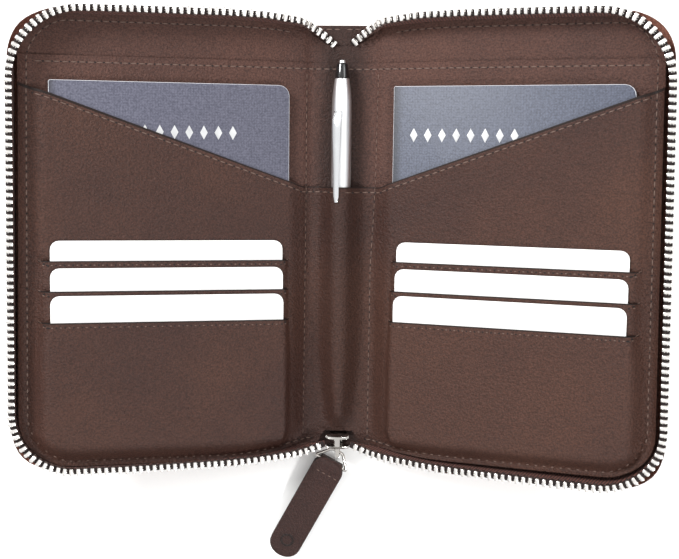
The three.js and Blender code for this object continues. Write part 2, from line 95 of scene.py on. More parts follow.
# Undersides of the lining and slip pocket over the outside of the spine and of the leaf, and of
# the front pocket where it is sewn down, over the spine's hollow and beside the cards.
LINING_UNDER, SLIP_UNDER = (1.35, 2.45), (2.1, 3.35)
POCKET_SEAT, SLEEVE_FLOOR, CARD_MARGIN = 4.15, 2.9, 8.6
# The leather leaves the pen this far round from its top.
PEN_WRAP = math.radians(50)
# A stretch from 5 to 27 mm off the middle, wider than the leather's fold, handed to bend_with_leaf
# with the zip.
ZIP_FOLD = (5, 27)
STITCH_LENGTH, STITCH_GAP, STITCH_BAR, HOLE_STEP = 2.3, 0.75, 2.1, 1.53


# ---- small tools ---------------------------------------------------------------------------
def only(*things):
    bpy.ops.object.select_all(action="DESELECT")
    for thing in things:
        thing.select_set(True)
    bpy.context.view_layer.objects.active = things[0]


def added(name):
    """Names the primitive that was just added."""
    thing = bpy.context.active_object
    thing.name = name
    thing.data.name = name
    return thing


def begin(name, primitive, **settings):
    """Starts a piece from a primitive."""
    bpy.ops.object.select_all(action="DESELECT")
    primitive(**settings)
    return added(name)


def edit(thing, *steps, faces=None):
    """Runs edit-mode steps on all of a piece, or on the faces that pass a test."""
    only(thing)
    bpy.ops.object.mode_set(mode="EDIT")
    bpy.ops.mesh.select_mode(type="FACE" if faces else "VERT")
    bpy.ops.mesh.select_all(action="DESELECT" if faces else "SELECT")
    if faces:
        bpy.ops.object.mode_set(mode="OBJECT")
        for face in thing.data.polygons:
            face.select = faces(face)
        bpy.ops.object.mode_set(mode="EDIT")
    for step in steps:
        step()
    bpy.ops.object.mode_set(mode="OBJECT")


def modify(thing, kind, **settings):
    """Adds a modifier with its settings and applies it."""
    only(thing)
    modifier = thing.modifiers.new(kind.title(), kind)
    for key, value in settings.items():
        setattr(modifier, key, value)
    bpy.ops.object.modifier_apply(modifier=modifier.name)


def round_edges(thing, width, angle, segments=2, **settings):
    """Rounds the edges where the faces turn by more than an angle."""
    modify(thing, "BEVEL", width=width, segments=segments, limit_method="ANGLE",
           angle_limit=math.radians(angle), **settings)


def settle(thing):
    """Puts a piece's place into its mesh."""
    only(thing)
    bpy.ops.object.transform_apply(location=True, rotation=True, scale=True)


def smooth(thing, angle=35):
    only(thing)
    bpy.ops.object.shade_smooth_by_angle(angle=math.radians(angle))


def dress(thing, *finishes):
    """Gives a piece its finishes, keeping which face has which."""
    chosen = [face.material_index for face in thing.data.polygons]
    thing.data.materials.clear()
    for used in finishes:
        thing.data.materials.append(used)
    for face, index in zip(thing.data.polygons, chosen):
        face.material_index = min(index, len(finishes) - 1)


def join(name, things):
    only(*things)
    bpy.ops.object.join()
    return added(name)


def placed_copy(thing, matrix):
    """A copy with a mesh of its own, put in its place."""
    piece = thing.copy()
    piece.data = thing.data.copy()
    bpy.context.scene.collection.objects.link(piece)
    piece.matrix_world = matrix
    return piece


def ease(low, high, value):
    share = min(max((value - low) / (high - low), 0), 1)
    return share * share * (3 - 2 * share)


def mix(first, second, share):
    return first + (second - first) * share


# ---- finishes ------------------------------------------------------------------------------
def linear(code):
    channels = [int(code[i:i + 2], 16) / 255 for i in (0, 2, 4)]
    return [c / 12.92 if c <= 0.04045 else ((c + 0.055) / 1.055) ** 2.4 for c in channels] + [1.0]


def node(owner, kind, links=None, **settings):
    """Adds a node to a material or the world, sets its properties and sockets, and links other
    nodes' outputs to its sockets."""
    made = owner.node_tree.nodes.new("ShaderNode" + kind)
    for key, value in settings.items():
        if hasattr(made, key):
            setattr(made, key, value)
        else:
            made.inputs[key.replace("_", " ")].default_value = value
    for socket, source in (links or {}).items():
        owner.node_tree.links.new(source, made.inputs[socket])
    return made


def finish(name, colour, **sockets):
    """A new material: returns it with its object coordinates."""
    material = bpy.data.materials.new(name)
    material.use_nodes = True
    shader = material.node_tree.nodes["Principled BSDF"]
    shader.inputs["Base Color"].default_value = linear(colour)
    for key, value in sockets.items():
        shader.inputs[key.replace("_", " ")].default_value = value
    return material, node(material, "TexCoord").outputs["Object"]


def drive(material, **sources):
    """Links outputs to the sockets of a material's shader."""
    shader = material.node_tree.nodes["Principled BSDF"]
    for key, source in sources.items():
        material.node_tree.links.new(source, shader.inputs[key.replace("_", " ")])


def patterned(name, colour, kind, pattern, tints=None, bump=None, gloss=None, lay=None, **sockets):
    """A finish with one pattern on it: tints are the colours of its low and high places, bump the
    strength and depth of its relief, gloss its range and the roughness at both ends of that, and
    lay how it is turned or drawn out."""
    material, place = finish(name, colour, **sockets)
    if lay:
        place = node(material, "Mapping", {"Vector": place}, **lay).outputs["Vector"]
    marks = node(material, kind, {"Vector": place}, **pattern).outputs["Fac"]
    if tints:
        tint = node(material, "MixRGB", {"Fac": marks}, Color1=linear(tints[0]),
                    Color2=linear(tints[1]))
        drive(material, Base_Color=tint.outputs["Color"])
    if bump:
        relief = node(material, "Bump", {"Height": marks}, Strength=bump[0], Distance=bump[1])
        drive(material, Normal=relief.outputs["Normal"])
    if gloss:
        remapped = node(material, "MapRange", {"Value": marks}, From_Min=gloss[0], From_Max=gloss[1],
                    To_Min=gloss[2], To_Max=gloss[3])
        drive(material, Roughness=remapped.outputs["Result"])
    return material


# The dye's clouds are 60 mm across; the weave is a seventh as strong as the cloth's specks.
DYE_CLOUD, WEAVE_SHARE = 60.0, 0.14


def leather(name, light, middle, dark, rough, pebble=1.15, spine_shade=1.0):
    """Aniline-dyed full-grain cowhide: pebbled pores about a millimetre across, soft cloudy dye and
    a low even gloss that breaks up over the grain. The hollow along the spine is darkened with
    painted shade: spine_shade is the share of the colour left there."""
    material, place = finish(name, middle, Roughness=rough, IOR=1.48, Specular_IOR_Level=0.26)
    cloud = node(material, "TexNoise", {"Vector": place}, Scale=1000.0 / DYE_CLOUD, Detail=3.0)
    depth = node(material, "MapRange", {"Value": cloud.outputs["Fac"]}, From_Min=0.3, From_Max=0.72)
    tint = node(material, "MixRGB", {"Fac": depth.outputs["Result"]}, Color1=linear(dark),
                Color2=linear(light))
    fleck = node(material, "TexNoise", {"Vector": place}, Scale=1600.0, Detail=2.0)
    flecks = node(material, "MapRange", {"Value": fleck.outputs["Fac"]}, From_Min=0.34,
                  From_Max=0.66, To_Min=0.68, To_Max=1.38)
    shade = node(material, "MixRGB", {"Color1": tint.outputs["Color"],
                                      "Color2": flecks.outputs["Result"]},
                 blend_type="MULTIPLY", Fac=1.0)
    # Painted shade: the colour darkens towards the middle of the spine, standing in for the shade
    # in its hollow.
    if spine_shade < 1:
        axes = node(material, "SeparateXYZ", {"Vector": place})
        beside = node(material, "Math", {0: axes.outputs["X"]}, operation="ABSOLUTE")
        remapped = node(material, "MapRange", {"Value": beside.outputs[0]},
                    interpolation_type="SMOOTHSTEP", From_Min=0.0035, From_Max=0.0145,
                    To_Min=spine_shade, To_Max=1.0)
        shade = node(material, "MixRGB", {"Color1": shade.outputs["Color"],
                                          "Color2": remapped.outputs["Result"]},
                     blend_type="MULTIPLY", Fac=1.0)
    wobble = node(material, "TexNoise", {"Vector": place}, Scale=500.0, Detail=2.0)
    bent = node(material, "MixRGB", {"Color1": place, "Color2": wobble.outputs["Color"]},
                blend_type="ADD", Fac=0.0006)
    cells = node(material, "TexVoronoi", {"Vector": bent.outputs["Color"]}, Scale=1000.0 / pebble,
                 feature="SMOOTH_F1")
    pores = node(material, "TexNoise", {"Vector": place}, Scale=2600.0, Detail=2.0)
    height = node(material, "Math", {0: cells.outputs["Distance"], 1: pores.outputs["Fac"]},
                  operation="ADD")
    slack = node(material, "TexNoise", {"Vector": place}, Scale=55.0, Detail=2.0)
    waves = node(material, "Bump", {"Height": slack.outputs["Fac"]}, Strength=0.15,
                 Distance=0.0008)
    grain = node(material, "Bump", {"Height": height.outputs[0],
                                    "Normal": waves.outputs["Normal"]},
                 Strength=0.9, Distance=0.00034)
    gloss = node(material, "MapRange", {"Value": cloud.outputs["Fac"]}, From_Min=0.3,
                 From_Max=0.7, To_Min=rough - 0.06, To_Max=rough + 0.08)
    drive(material, Base_Color=shade.outputs["Color"], Normal=grain.outputs["Normal"],
          Roughness=gloss.outputs["Result"])
    return material


def metal(name, colour, rough, relief=0.1, grain=(300.0, 300.0, 300.0)):
    """Plated or polished metal: a tinted mirror dulled by fine handling marks."""
    return patterned(name, colour, "TexNoise", {"Scale": 1.0, "Detail": 4.0},
                     bump=(relief, 0.00004), lay={"Scale": grain},
                     gloss=(0.3, 0.7, max(rough - 0.06, 0.03), rough + 0.1),
                     Metallic=1.0, Roughness=rough)


def book_cloth(name, first, second, fold):
    """Coated book cloth on a passport booklet: canvas grain drawn coarse enough to show, matt with
    a plasticky glint on the threads, and darkened with painted shade along its folded edge, which
    lies at fold."""
    material, place = finish(name, first, Roughness=0.5, IOR=1.5)
    across, along = [node(material, "TexWave", {"Vector": place}, Scale=330.0, Distortion=1.2,
                          Detail=1.0, bands_direction=way) for way in ("X", "Y")]
    weave = node(material, "Math", {0: across.outputs["Fac"], 1: along.outputs["Fac"]},
                 operation="MULTIPLY")
    speck = node(material, "TexNoise", {"Vector": place}, Scale=1400.0, Detail=2.0)
    tone = node(material, "Math", {0: weave.outputs[0], 2: speck.outputs["Fac"]},
                operation="MULTIPLY_ADD")
    tone.inputs[1].default_value = WEAVE_SHARE
    depth = node(material, "MapRange", {"Value": tone.outputs[0]}, From_Min=0.3, From_Max=0.78)
    tint = node(material, "MixRGB", {"Fac": depth.outputs["Result"]}, Color1=linear(first),
                Color2=linear(second))
    axes = node(material, "SeparateXYZ", {"Vector": place})
    # Painted shade: the cloth darkens towards its folded edge.
    fold_shade = node(material, "MapRange", {"Value": axes.outputs["X"]},
                  interpolation_type="SMOOTHSTEP", From_Min=fold, From_Max=fold + 0.0042,
                  To_Min=0.3, To_Max=1.0)
    shade = node(material, "MixRGB", {"Color1": tint.outputs["Color"],
                                      "Color2": fold_shade.outputs["Result"]},
                 blend_type="MULTIPLY", Fac=1.0)
    relief = node(material, "Bump", {"Height": tone.outputs[0]}, Strength=0.45, Distance=0.00015)
    drive(material, Base_Color=shade.outputs["Color"], Normal=relief.outputs["Normal"])
    return material


COVER_LEATHER = leather("full-grain cover leather", "855a4c", "764d40", "653f35", 0.5)
# The last figure of these two leathers sets the painted shade in the hollow along the spine.
INNER_LEATHER = leather("smooth lining leather", "4f352d", "472e28", "3e2822", 0.55, 0.8, 0.42)
POCKET_LEATHER = leather("soft pocket leather", "432b22", "3b241d", "321e19", 0.52, 0.85, 0.8)
PULL_LEATHER = leather("folded pull leather", "392420", "321f1b", "2a1a17", 0.5, 0.7)
# Painted shade: the embossed ring's near-black colour stands in for the shade in its pressed
# groove.
PRESSED_SHADE_LEATHER = leather("pressed leather in painted shade", "1f1310", "1a100e", "150d0b", 0.4, 0.7)
# Polyester herringbone zip tape: slanting ribs under a millimetre apart that turn back on
# themselves, quite matt, in a redder brown than the leather.
TAPE = patterned("woven polyester zip tape", "5a3229", "TexWave",
                 {"Scale": 330.0, "Distortion": 1.6, "Detail": 1.0, "Detail_Scale": 2.0},
                 tints=("2a1613", "6c3f34"), bump=(0.6, 0.0003),
                 lay={"Rotation": (0.35, 0.2, 0.7)}, Roughness=0.86, IOR=1.5, Sheen_Weight=0.05)
# Cord inside the tape's edge: braided yarn coloured near-black as painted shade for the deep gaps
# between the teeth.
SHADED_CORD = patterned("braided cord in painted shade", "1c110f", "TexWave", {"Scale": 400.0, "Distortion": 2.0},
                 bump=(0.5, 0.0002), Roughness=0.9)
# Bonded nylon sewing thread: two twisted plies, a little lighter than the leather, faint silky
# gloss.
THREAD = patterned("bonded nylon thread", "4e3c35", "TexWave", {"Scale": 800.0, "Distortion": 1.0},
                   tints=("4e3c35", "6f594e"), Roughness=0.55, IOR=1.5)
# A needle hole is all shade: flat near-black brown.
HOLE = finish("shadow in a needle hole", "140d0b", Roughness=0.9)[0]
# Edge paint rolled on cut leather: near-black brown, slightly rubbery gloss, a little lumpy.
EDGE_PAINT = patterned("dark edge paint", "1d1310", "TexNoise", {"Scale": 700.0, "Detail": 2.0},
                       bump=(0.3, 0.0001), Roughness=0.6, Specular_IOR_Level=0.2)
# The booklets' cut edges are rubbed to a pale, matt grey.
CLOTH_EDGE = finish("worn pale cloth edge", "d8d9de", Roughness=0.6)[0]
TEETH = metal("nickel-plated zip teeth", "f6f3ef", 0.26)
FITTINGS = metal("nickel-plated zip fittings", "c4c0bb", 0.18)
CLIP_METAL = metal("polished pen clip metal", "eceef0", 0.12)
PEN_METAL = metal("satin-chromed pen metal", "f4f5f6", 0.36, 0.25, (900.0, 40.0, 900.0))
# Black-lacquered collar: deep colour under a clear hard gloss, with faint dust marks.
PEN_BLACK = patterned("black lacquered brass", "0d0d0f", "TexNoise",
                      {"Scale": 900.0, "Detail": 3.0}, gloss=(0.4, 0.7, 0.1, 0.22),
                      Roughness=0.14, IOR=1.5, Coat_Weight=0.6)
CLOTHS = {"left": book_cloth("slate blue book cloth", "3a3b4a", "5d5d6c",
                             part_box("left_passport_cover")[0].x),
          "right": book_cloth("pale slate book cloth", "373b48", "535868",
                              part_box("right_passport_cover")[0].x)}
FOIL = metal("silver blocking foil", "e4e5e6", 0.3)
# Laminated PVC card: white, satin, with an even fine orange-peel from the press plates.
CARD = patterned("laminated PVC card", "f4f4f3", "TexNoise", {"Scale": 1500.0, "Detail": 2.0},
                 bump=(0.08, 0.0001), Roughness=0.38, IOR=1.53)
# Trimmed page edges: cream paper with fine lines where the leaves stack.
PAPER = patterned("stacked cream paper", "e6dfcd", "TexNoise", {"Scale": 1.0, "Detail": 2.0},
                  tints=("cfc6b0", "f2ecdd"), lay={"Scale": (20.0, 20.0, 5000.0)}, Roughness=0.9)
# Pressed grey board inside the covers: dull recycled fibre with darker flecks.
BOARD = patterned("pressed grey board", "8c8272", "TexNoise", {"Scale": 1200.0, "Detail": 5.0},
                  tints=("6f675a", "a2988a"), Roughness=0.92)
# Polyester twill that divides the card slots: fine diagonal ribs, matt dark brown.
TWILL = patterned("polyester twill", "4f372e", "TexWave", {"Scale": 400.0},
                  tints=("402b24", "61463b"), lay={"Rotation": (0.0, 0.0, 0.8)}, Roughness=0.85)


# ---- laying a flat pattern on the open wallet ----------------------------------------------
def surface_place(side, across, along, spine_height, leaf_height):
    """Where a pattern point lies: across is from the middle of the spine, along is towards the
    head, and the heights are above the outside of the spine and of the leaf."""
    turn = ease(FOLD_START, FOLD_END, across)
    out = across - HINGE
    x = HINGE + out * math.cos(OPEN) - leaf_height * math.sin(OPEN)
    z = out * math.sin(OPEN) + leaf_height * math.cos(OPEN)
    x = mix(across, x, turn)
    z = max(mix(spine_height, z, turn), 0)
    return Vector((side * x, along, z)) * MM


def edge_distance(across, along, outer, top, bottom, radius):
    """How far a pattern point lies inside a leaf's rounded outline."""
    right = max(across - HINGE - (outer - radius), 0)
    over = max(along - (top - radius), (bottom + radius) - along, 0)
    if right > 0 and over > 0:
        return radius - math.hypot(right, over)
    return radius - max(right, over)


def stretched(across, along, reach):
    """Moves a pattern point outward near the edges: reach holds how far at the head, at the foot,
    and at the long edge near the head and near the foot."""
    head, foot, side_head, side_foot = reach
    leaf = ease(12, 45, across)
    out = mix(side_foot, side_head, (along + 80) / 160) * ease(HINGE + 96, HINGE + 106, across)
    along += leaf * (head * ease(62, 81, along) - foot * ease(-66, -81, along))
    return across + out, along


def corner_rise(across, outer, half, radius):
    """Half height of a leaf's outline at one place, with its outer corner rounded."""
    over = across - HINGE - (outer - radius)
    if over <= 0:
        return half
    over = min(over, radius)
    return half - radius + math.sqrt(max(radius * radius - over * over, 0))


def corner_columns(outer, radius, steps=9):
    start = HINGE + outer - radius
    return [start + radius * math.sin(math.pi / 2 * i / steps) for i in range(1, steps + 1)]


def arc(x, y, radius, first, last, steps):
    """Points along an arc, from its middle, its radius and two angles in quarter turns."""
    angles = [math.pi / 2 * mix(first, last, i / steps) for i in range(steps + 1)]
    return [(x + radius * math.cos(angle), y + radius * math.sin(angle)) for angle in angles]


def spread(low, high, count):
    return [low + (high - low) * i / count for i in range(count + 1)]


def flat_panel(name, columns, rows, bottom, top):
    """A grid cut to an outline, in pattern millimetres. Rows are shares of the height."""
    panel = begin(name, bpy.ops.mesh.primitive_grid_add, x_subdivisions=len(columns) - 1,
                  y_subdivisions=len(rows) - 1, size=2)
    for vertex in panel.data.vertices:
        column = columns[round((vertex.co.x + 1) / 2 * (len(columns) - 1))]
        share = rows[round((vertex.co.y + 1) / 2 * (len(rows) - 1))]
        vertex.co = (column, mix(bottom(column), top(column), share), 0)
    return panel


def thicken(panel, thickness, round_edge, edge_finish=1):
    """Gives a pattern its thickness and soft painted edges, and cuts it square at the middle."""
    modify(panel, "SOLIDIFY", thickness=thickness, offset=1.0, material_offset_rim=edge_finish)
    round_edges(panel, round_edge, 60, material=edge_finish)
    edit(panel, lambda: bpy.ops.mesh.bisect(
        plane_co=(0, 0, 0), plane_no=(1, 0, 0), use_fill=True, clear_inner=True, threshold=0.0001))


REACH = {-1: (1.2, 3.6, 1.0, 3.5), 1: (1.2, 1.5, 0.0, 2.7)}
COVER_REACH = {-1: (1.7, 4.2, 2.6, 4.3), 1: (1.2, 4.4, 1.0, 4.2)}


def rim_lift(across, along, outer, half, radius, height, width):
    """How far a sheet curls up towards its outer edge."""
    near = 1 - edge_distance(across, along, outer, half, -half, radius) / width
    return height * max(near, 0) ** 2 * ease(14, 40, across)


def inner_lift(across, along):
    """The lining's curl, nearly flat at the head where a booklet slides out over it."""
    height = mix(4.0, 0.9, ease(66, 77, along))
    return rim_lift(across, along, LINING_OUTER, LINING_HALF, LINING_RADIUS, height, 5.5)


def drape(thing, side, heights, reach=None, lift=inner_lift):
    """Lays a flat pattern on one half; heights(across, along) gives spine and leaf height there."""
    reach = reach or REACH[side]
    for vertex in thing.data.vertices:
        across, along, up = vertex.co
        spine_height, leaf_height = heights(across, along)
        up += lift(across, along)
        across, along = stretched(across, along, reach)
        vertex.co = surface_place(side, across, along, spine_height + up, leaf_height + up)
    if side < 0:
        edit(thing, bpy.ops.mesh.flip_normals)


def bend_with_leaf(thing, side, start=FOLD_START, end=FOLD_END):
    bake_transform(thing)


SIDES = [("left", -1), ("right", 1)]


# ---- outer cover, lining and slip pocket ---------------------------------------------------
def cover_edge(across):
    return mix(COVER_SPINE, COVER_HALF, ease(14, 37, across)) + corner_rise(
        across, COVER_OUTER, 0, COVER_RADIUS)


def lining_top(across):
    dip = mix(73.5, LINING_HALF, ease(3, 19, across))
    return dip + corner_rise(across, LINING_OUTER, 0, LINING_RADIUS)


def lining_bottom(across):
    """Foot edge: stops short of the slider, then runs close under the zip."""
    pinch = mix(-75.2, -79.9, ease(5.2, 8.5, across))
    pinch = mix(pinch, -LINING_HALF, ease(12, 26, across))
    return pinch - corner_rise(across, LINING_OUTER, 0, LINING_RADIUS)


def slip_bottom(across):
    return max(lining_bottom(across) + 0.2,
               SLIP_BOTTOM - corner_rise(across, SLIP_OUTER, 0, SLIP_RADIUS))


def lay_half(panel, side, heights, finishes, reach=None, lift=inner_lift):
    """Drapes one half of a sheet, shades and dresses it, and bakes its place into its mesh."""
    drape(panel, side, lambda across, along: heights, reach, lift)
    smooth(panel, 40)
    dress(panel, *finishes)
    bend_with_leaf(panel, side)


def cover_lift(across, along):
    """The cover's curl up the outside of the zip tape, lower along the head."""
    height = mix(6.5, 3.0, ease(60, 76, along))
    return rim_lift(across, along, COVER_OUTER, COVER_HALF, COVER_RADIUS, height, 6.0)


def edge_rows(low, high, middle):
    """Shares of the height, close together near both ends."""
    near = [0, 0.4, 1.0, 1.8, 2.8, 4.0, 5.5, 8]
    length = high - low
    inner = spread(11 / length, 1 - 11 / length, middle)
    return [step / length for step in near] + inner + [1 - step / length for step in reversed(near)]


OUTER_COLUMNS = [22, 28, 35, 42, 50, 60, 70, 80, 90]
LEATHER_ROWS = edge_rows(-LINING_HALF, LINING_HALF, 20)

for name, side in SIDES:
    columns = spread(-3, 9, 6) + spread(10, 17, 7) + OUTER_COLUMNS + spread(96, 104, 2)
    columns += corner_columns(COVER_OUTER, COVER_RADIUS, 13)
    cover = flat_panel(f"{name}_cover_leather", columns, LEATHER_ROWS,
                       lambda across: -cover_edge(across), cover_edge)
    thicken(cover, COVER_THICK, 0.45, edge_finish=0)
    for face in cover.data.polygons:
        from_edge = edge_distance(*face.center[:2], COVER_OUTER, COVER_HALF, -COVER_HALF,
                                  COVER_RADIUS)
        inside = from_edge > 7 or face.center.x < 24
        face.material_index = 1 if face.normal.z > 0.5 and inside else 0
    lay_half(cover, side, (0, 0), (COVER_LEATHER, INNER_LEATHER), COVER_REACH[side], cover_lift)
    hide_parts(f"{name}_outer_cover", "spine_cover")

    columns = spread(-3, 9, 12) + spread(9.5, 20, 14) + OUTER_COLUMNS + spread(95, 102, 2)
    columns += corner_columns(LINING_OUTER, LINING_RADIUS, 13)
    lining = flat_panel(f"{name}_lining_leather", columns, LEATHER_ROWS, lining_bottom, lining_top)
    thicken(lining, LINING_THICK, 0.24)
    lay_half(lining, side, LINING_UNDER, (INNER_LEATHER, EDGE_PAINT))
    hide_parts(f"{name}_lining", "spine_lining")

    columns = spread(-3, 9, 6) + spread(10, 20, 10) + OUTER_COLUMNS + spread(95, 102, 2)
    columns += corner_columns(SLIP_OUTER, SLIP_RADIUS, 13)
    slip = flat_panel(f"{name}_slip_pocket_leather", columns, LEATHER_ROWS, slip_bottom,
                      lambda across: SLIP_TOP)
    thicken(slip, SLIP_THICK, 0.26)
    lay_half(slip, side, SLIP_UNDER, (INNER_LEATHER, EDGE_PAINT))
    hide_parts(f"{name}_slip_pocket", "spine_slip_pocket")


# ---- front pocket with its card slots ------------------------------------------------------
def pocket_top(across):
    """Slanted mouth of the front pocket, flat over the pen."""
    run = ease(11, 21, across) * (across - 16) / (HINGE + POCKET_OUTER - 16)
    return POCKET_TOP_SPINE + (POCKET_TOP_EDGE - POCKET_TOP_SPINE) * max(run, 0)


def pocket_bottom(across):
    return max(lining_bottom(across) + 0.4,
               POCKET_BOTTOM - corner_rise(across, POCKET_OUTER, 0, POCKET_RADIUS))


def pen_width(along):
    if along <= PEN_OUTLINE[0][1]:
        return 0
    for (r0, y0), (r1, y1) in zip(PEN_OUTLINE, PEN_OUTLINE[1:]):
        if along <= y1:
            return mix(r0, r1, (along - y0) / (y1 - y0))
    return PEN_OUTLINE[-1][0]


def sleeve_height(across, along):
    """Underside of the leather over the pen: it wraps the barrel, then falls away to both sides."""
    radius = max(pen_width(max(along, -64)), 1.6) + 0.14
    sink = ease(-74.6, -66, along)
    wrap = radius * math.sin(PEN_WRAP)
    if across <= wrap:
        height = PEN_Z + math.sqrt(radius * radius - across * across)
    else:
        start = PEN_Z + radius * math.cos(PEN_WRAP)
        run = max(2.4 * wrap, 5.6)
        share = min((across - wrap) / run, 1)
        slope = -math.tan(PEN_WRAP) * run
        height = ((2 * share ** 3 - 3 * share ** 2 + 1) * start
                  + (share ** 3 - 2 * share ** 2 + share) * slope
                  + (3 * share ** 2 - 2 * share ** 3) * SLEEVE_FLOOR)
    return max(mix(3.2, height, sink), SLEEVE_FLOOR)


def pocket_heights(band):
    """Underside of one band of the front pocket: raised over the booklet and the cards behind it,
    easing down to the sewn margins."""
    def heights(across, along):
        out = across - HINGE
        margin = mix(LEVELS[0], CARD_MARGIN, ease(-2, -36, along))
        widen = ease(-31, -44, along)
        inside = (ease(mix(8.9, 8.0, widen), 11.2, out)
                  * (1 - ease(97.0, mix(100.4, 103.8, widen), out)))
        level = mix(max(margin, LEVELS[0]), LEVELS[band], inside)
        sides = ease(1.6, 9.2, out) * (1 - ease(97.8, 104.6, out))
        edge = pocket_bottom(across)
        clear_of_slider = mix(-69.5, max(-74.0, edge + 7.0), ease(9.6, 11.6, out))
        foot = ease(edge + 0.6, clear_of_slider, along)
        leaf = POCKET_SEAT + (level - POCKET_SEAT) * sides * foot
        return sleeve_height(max(across, 0), along), leaf
    return heights


POCKET_COLUMNS = (spread(-2, 5, 10) + spread(5.4, 8.8, 8) + spread(9.5, 25, 26)
                  + spread(28, HINGE + 94, 14) + spread(HINGE + 96.2, HINGE + 104.6, 14)
                  + [HINGE + 105.2, HINGE + 105.6, HINGE + POCKET_OUTER])


def pocket_half(name, side):
    """Four bands of one leather panel, each lower band lifted over the card that slips behind it.
    Beside the slots they share their edges, so they are welded there into one sheet."""
    bands = []
    edges = [pocket_top] + [lambda a, y=y: y for y in LIPS] + [pocket_bottom]
    counts = [14, 4, 4, 26]
    for band in range(4):
        rows = spread(0, 0.985 if band == 0 else 0.965, counts[band])
        if band == 3:
            rows = spread(0, 0.2, 14) + spread(0.2, 0.992, 14)[1:]
        rows = rows + [1]
        part = flat_panel(f"{name}_band_{band}", POCKET_COLUMNS, rows, edges[band + 1], edges[band])
        first_painted = (len(rows) - 2) * (len(POCKET_COLUMNS) - 1)
        for face in part.data.polygons:
            beside = HINGE + 9 < face.center.x < HINGE + 100 or band == 0
            face.material_index = 1 if face.index >= first_painted and beside else 0
        heights = pocket_heights(band)
        for vertex in part.data.vertices:
            spine_height, leaf_height = heights(vertex.co.x, vertex.co.y)
            turn = ease(FOLD_START, FOLD_END, vertex.co.x)
            vertex.co.z = mix(spine_height, leaf_height, turn)
        bands.append(part)
    for part in bands:
        dress(part, POCKET_LEATHER, EDGE_PAINT)
    panel = join(f"{name}_front_pocket_leather", bands)
    edit(panel, lambda: bpy.ops.mesh.remove_doubles(threshold=0.02))
    return panel


for name, side in SIDES:
    panel = pocket_half(name, side)
    thicken(panel, POCKET_THICK, 0.24)
    lay_half(panel, side, (0, 0), (POCKET_LEATHER, EDGE_PAINT))
    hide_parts(f"{name}_front_pocket", "pen_sleeve")


# ---- zip: tape, teeth and their path -------------------------------------------------------
def zip_line(out_head, out_foot, top, bottom, radii, ends):
    """Path of the zip round one leaf in pattern millimetres, from the head of the spine to its
    foot, with the height of each point."""
    head, foot = ends
    head_radius, foot_radius = radii
    points = list(head)
    points += [(x, y, None) for x, y in arc(HINGE + out_head - head_radius, top - head_radius,
                                            head_radius, 1, 0, 14)]
    for share in (0.15, 0.35, 0.5, 0.65, 0.85):
        points.append((HINGE + mix(out_head, out_foot, share),
                       mix(top - head_radius, bottom + foot_radius, share), None))
    points += [(x, y, None) for x, y in arc(HINGE + out_foot - foot_radius, bottom + foot_radius,
                                            foot_radius, 0, -1, 14)]
    return points + list(foot)


CHAIN_OUT = {-1: (110.3, 111.4), 1: (109.2, 111.2)}
CHAIN_HEIGHT, ROOT_HEIGHT, TAPE_INSET = 10.75, 3.0, 1.6
CHAIN_TOP, ROOT_TOP, CHAIN_FOOT = 83.8, 84, -85.8
CHAIN_RADII, ROOT_RADII = (26, 22.5), (19, 22.5 - TAPE_INSET)
# Both lines near the spine, at the head and at the foot: across, along and height.
CHAIN_ENDS = (
    [(3.4, 74.1, 1.9), (6, 76.2, 3.2), (9, 78.4, 5.0), (13, 80.6, 7.2), (18, 82, 9.4),
     (24, 82.7, 10.4), (32, 83.6, None), (45, 84, None), (62, 84, None), (78, 84, None)],
    [(82, -85.7, None), (62, -85.3, None), (47, -84.9, None), (36, -84.3, 10.75),
     (27, -83.4, 10.6), (20, -82.6, 10.3), (14, -81.7, 9.9), (9, -80.4, 9.4), (5, -78.9, 8.9)])
ROOT_ENDS = (
    [(3.4, 74.8, 1.6), (6, 76.8, 2.0), (9, 78.8, 2.5), (13, 80.2, 2.8), (18, 81, 3.0),
     (24, 81.5, 3.0), (32, 82.0, None), (45, 82.4, None), (62, 82.4, None), (78, 82.4, None)],
    [(82, -84.1, None), (62, -83.7, None), (47, -83.3, None), (36, -82.8, None),
     (27, -82.1, 3.0), (20, -81.3, 3.4), (14, -80.5, 4.4), (9, -79.6, 5.6), (5, -78.4, 6.4)])
CHAIN, ROOT = {}, {}
for side, (out_head, out_foot) in CHAIN_OUT.items():
    CHAIN[side] = zip_line(out_head, out_foot, CHAIN_TOP, CHAIN_FOOT, CHAIN_RADII, CHAIN_ENDS)
    ROOT[side] = zip_line(out_head - TAPE_INSET, out_foot - TAPE_INSET, ROOT_TOP - TAPE_INSET,
                          CHAIN_FOOT + TAPE_INSET, ROOT_RADII, ROOT_ENDS)


def placed(point, default, side):
    across, along, height = point
    height = default if height is None else height
    return surface_place(side, across, along, height, height)


# Section of the tape: how far up from root to teeth, and how far to each side, in millimetres.
TAPE_SECTION = [(0, 0.28), (0.25, 0.28), (0.5, 0.28), (0.78, 0.3), (0.88, 0.95), (0.96, 1.25),
                (1.02, 0.95), (1.05, 0), (1.02, -0.95), (0.96, -1.25), (0.88, -0.95), (0.78, -0.3),
                (0.4, -0.28), (0, -0.28), (0, 0.28)]


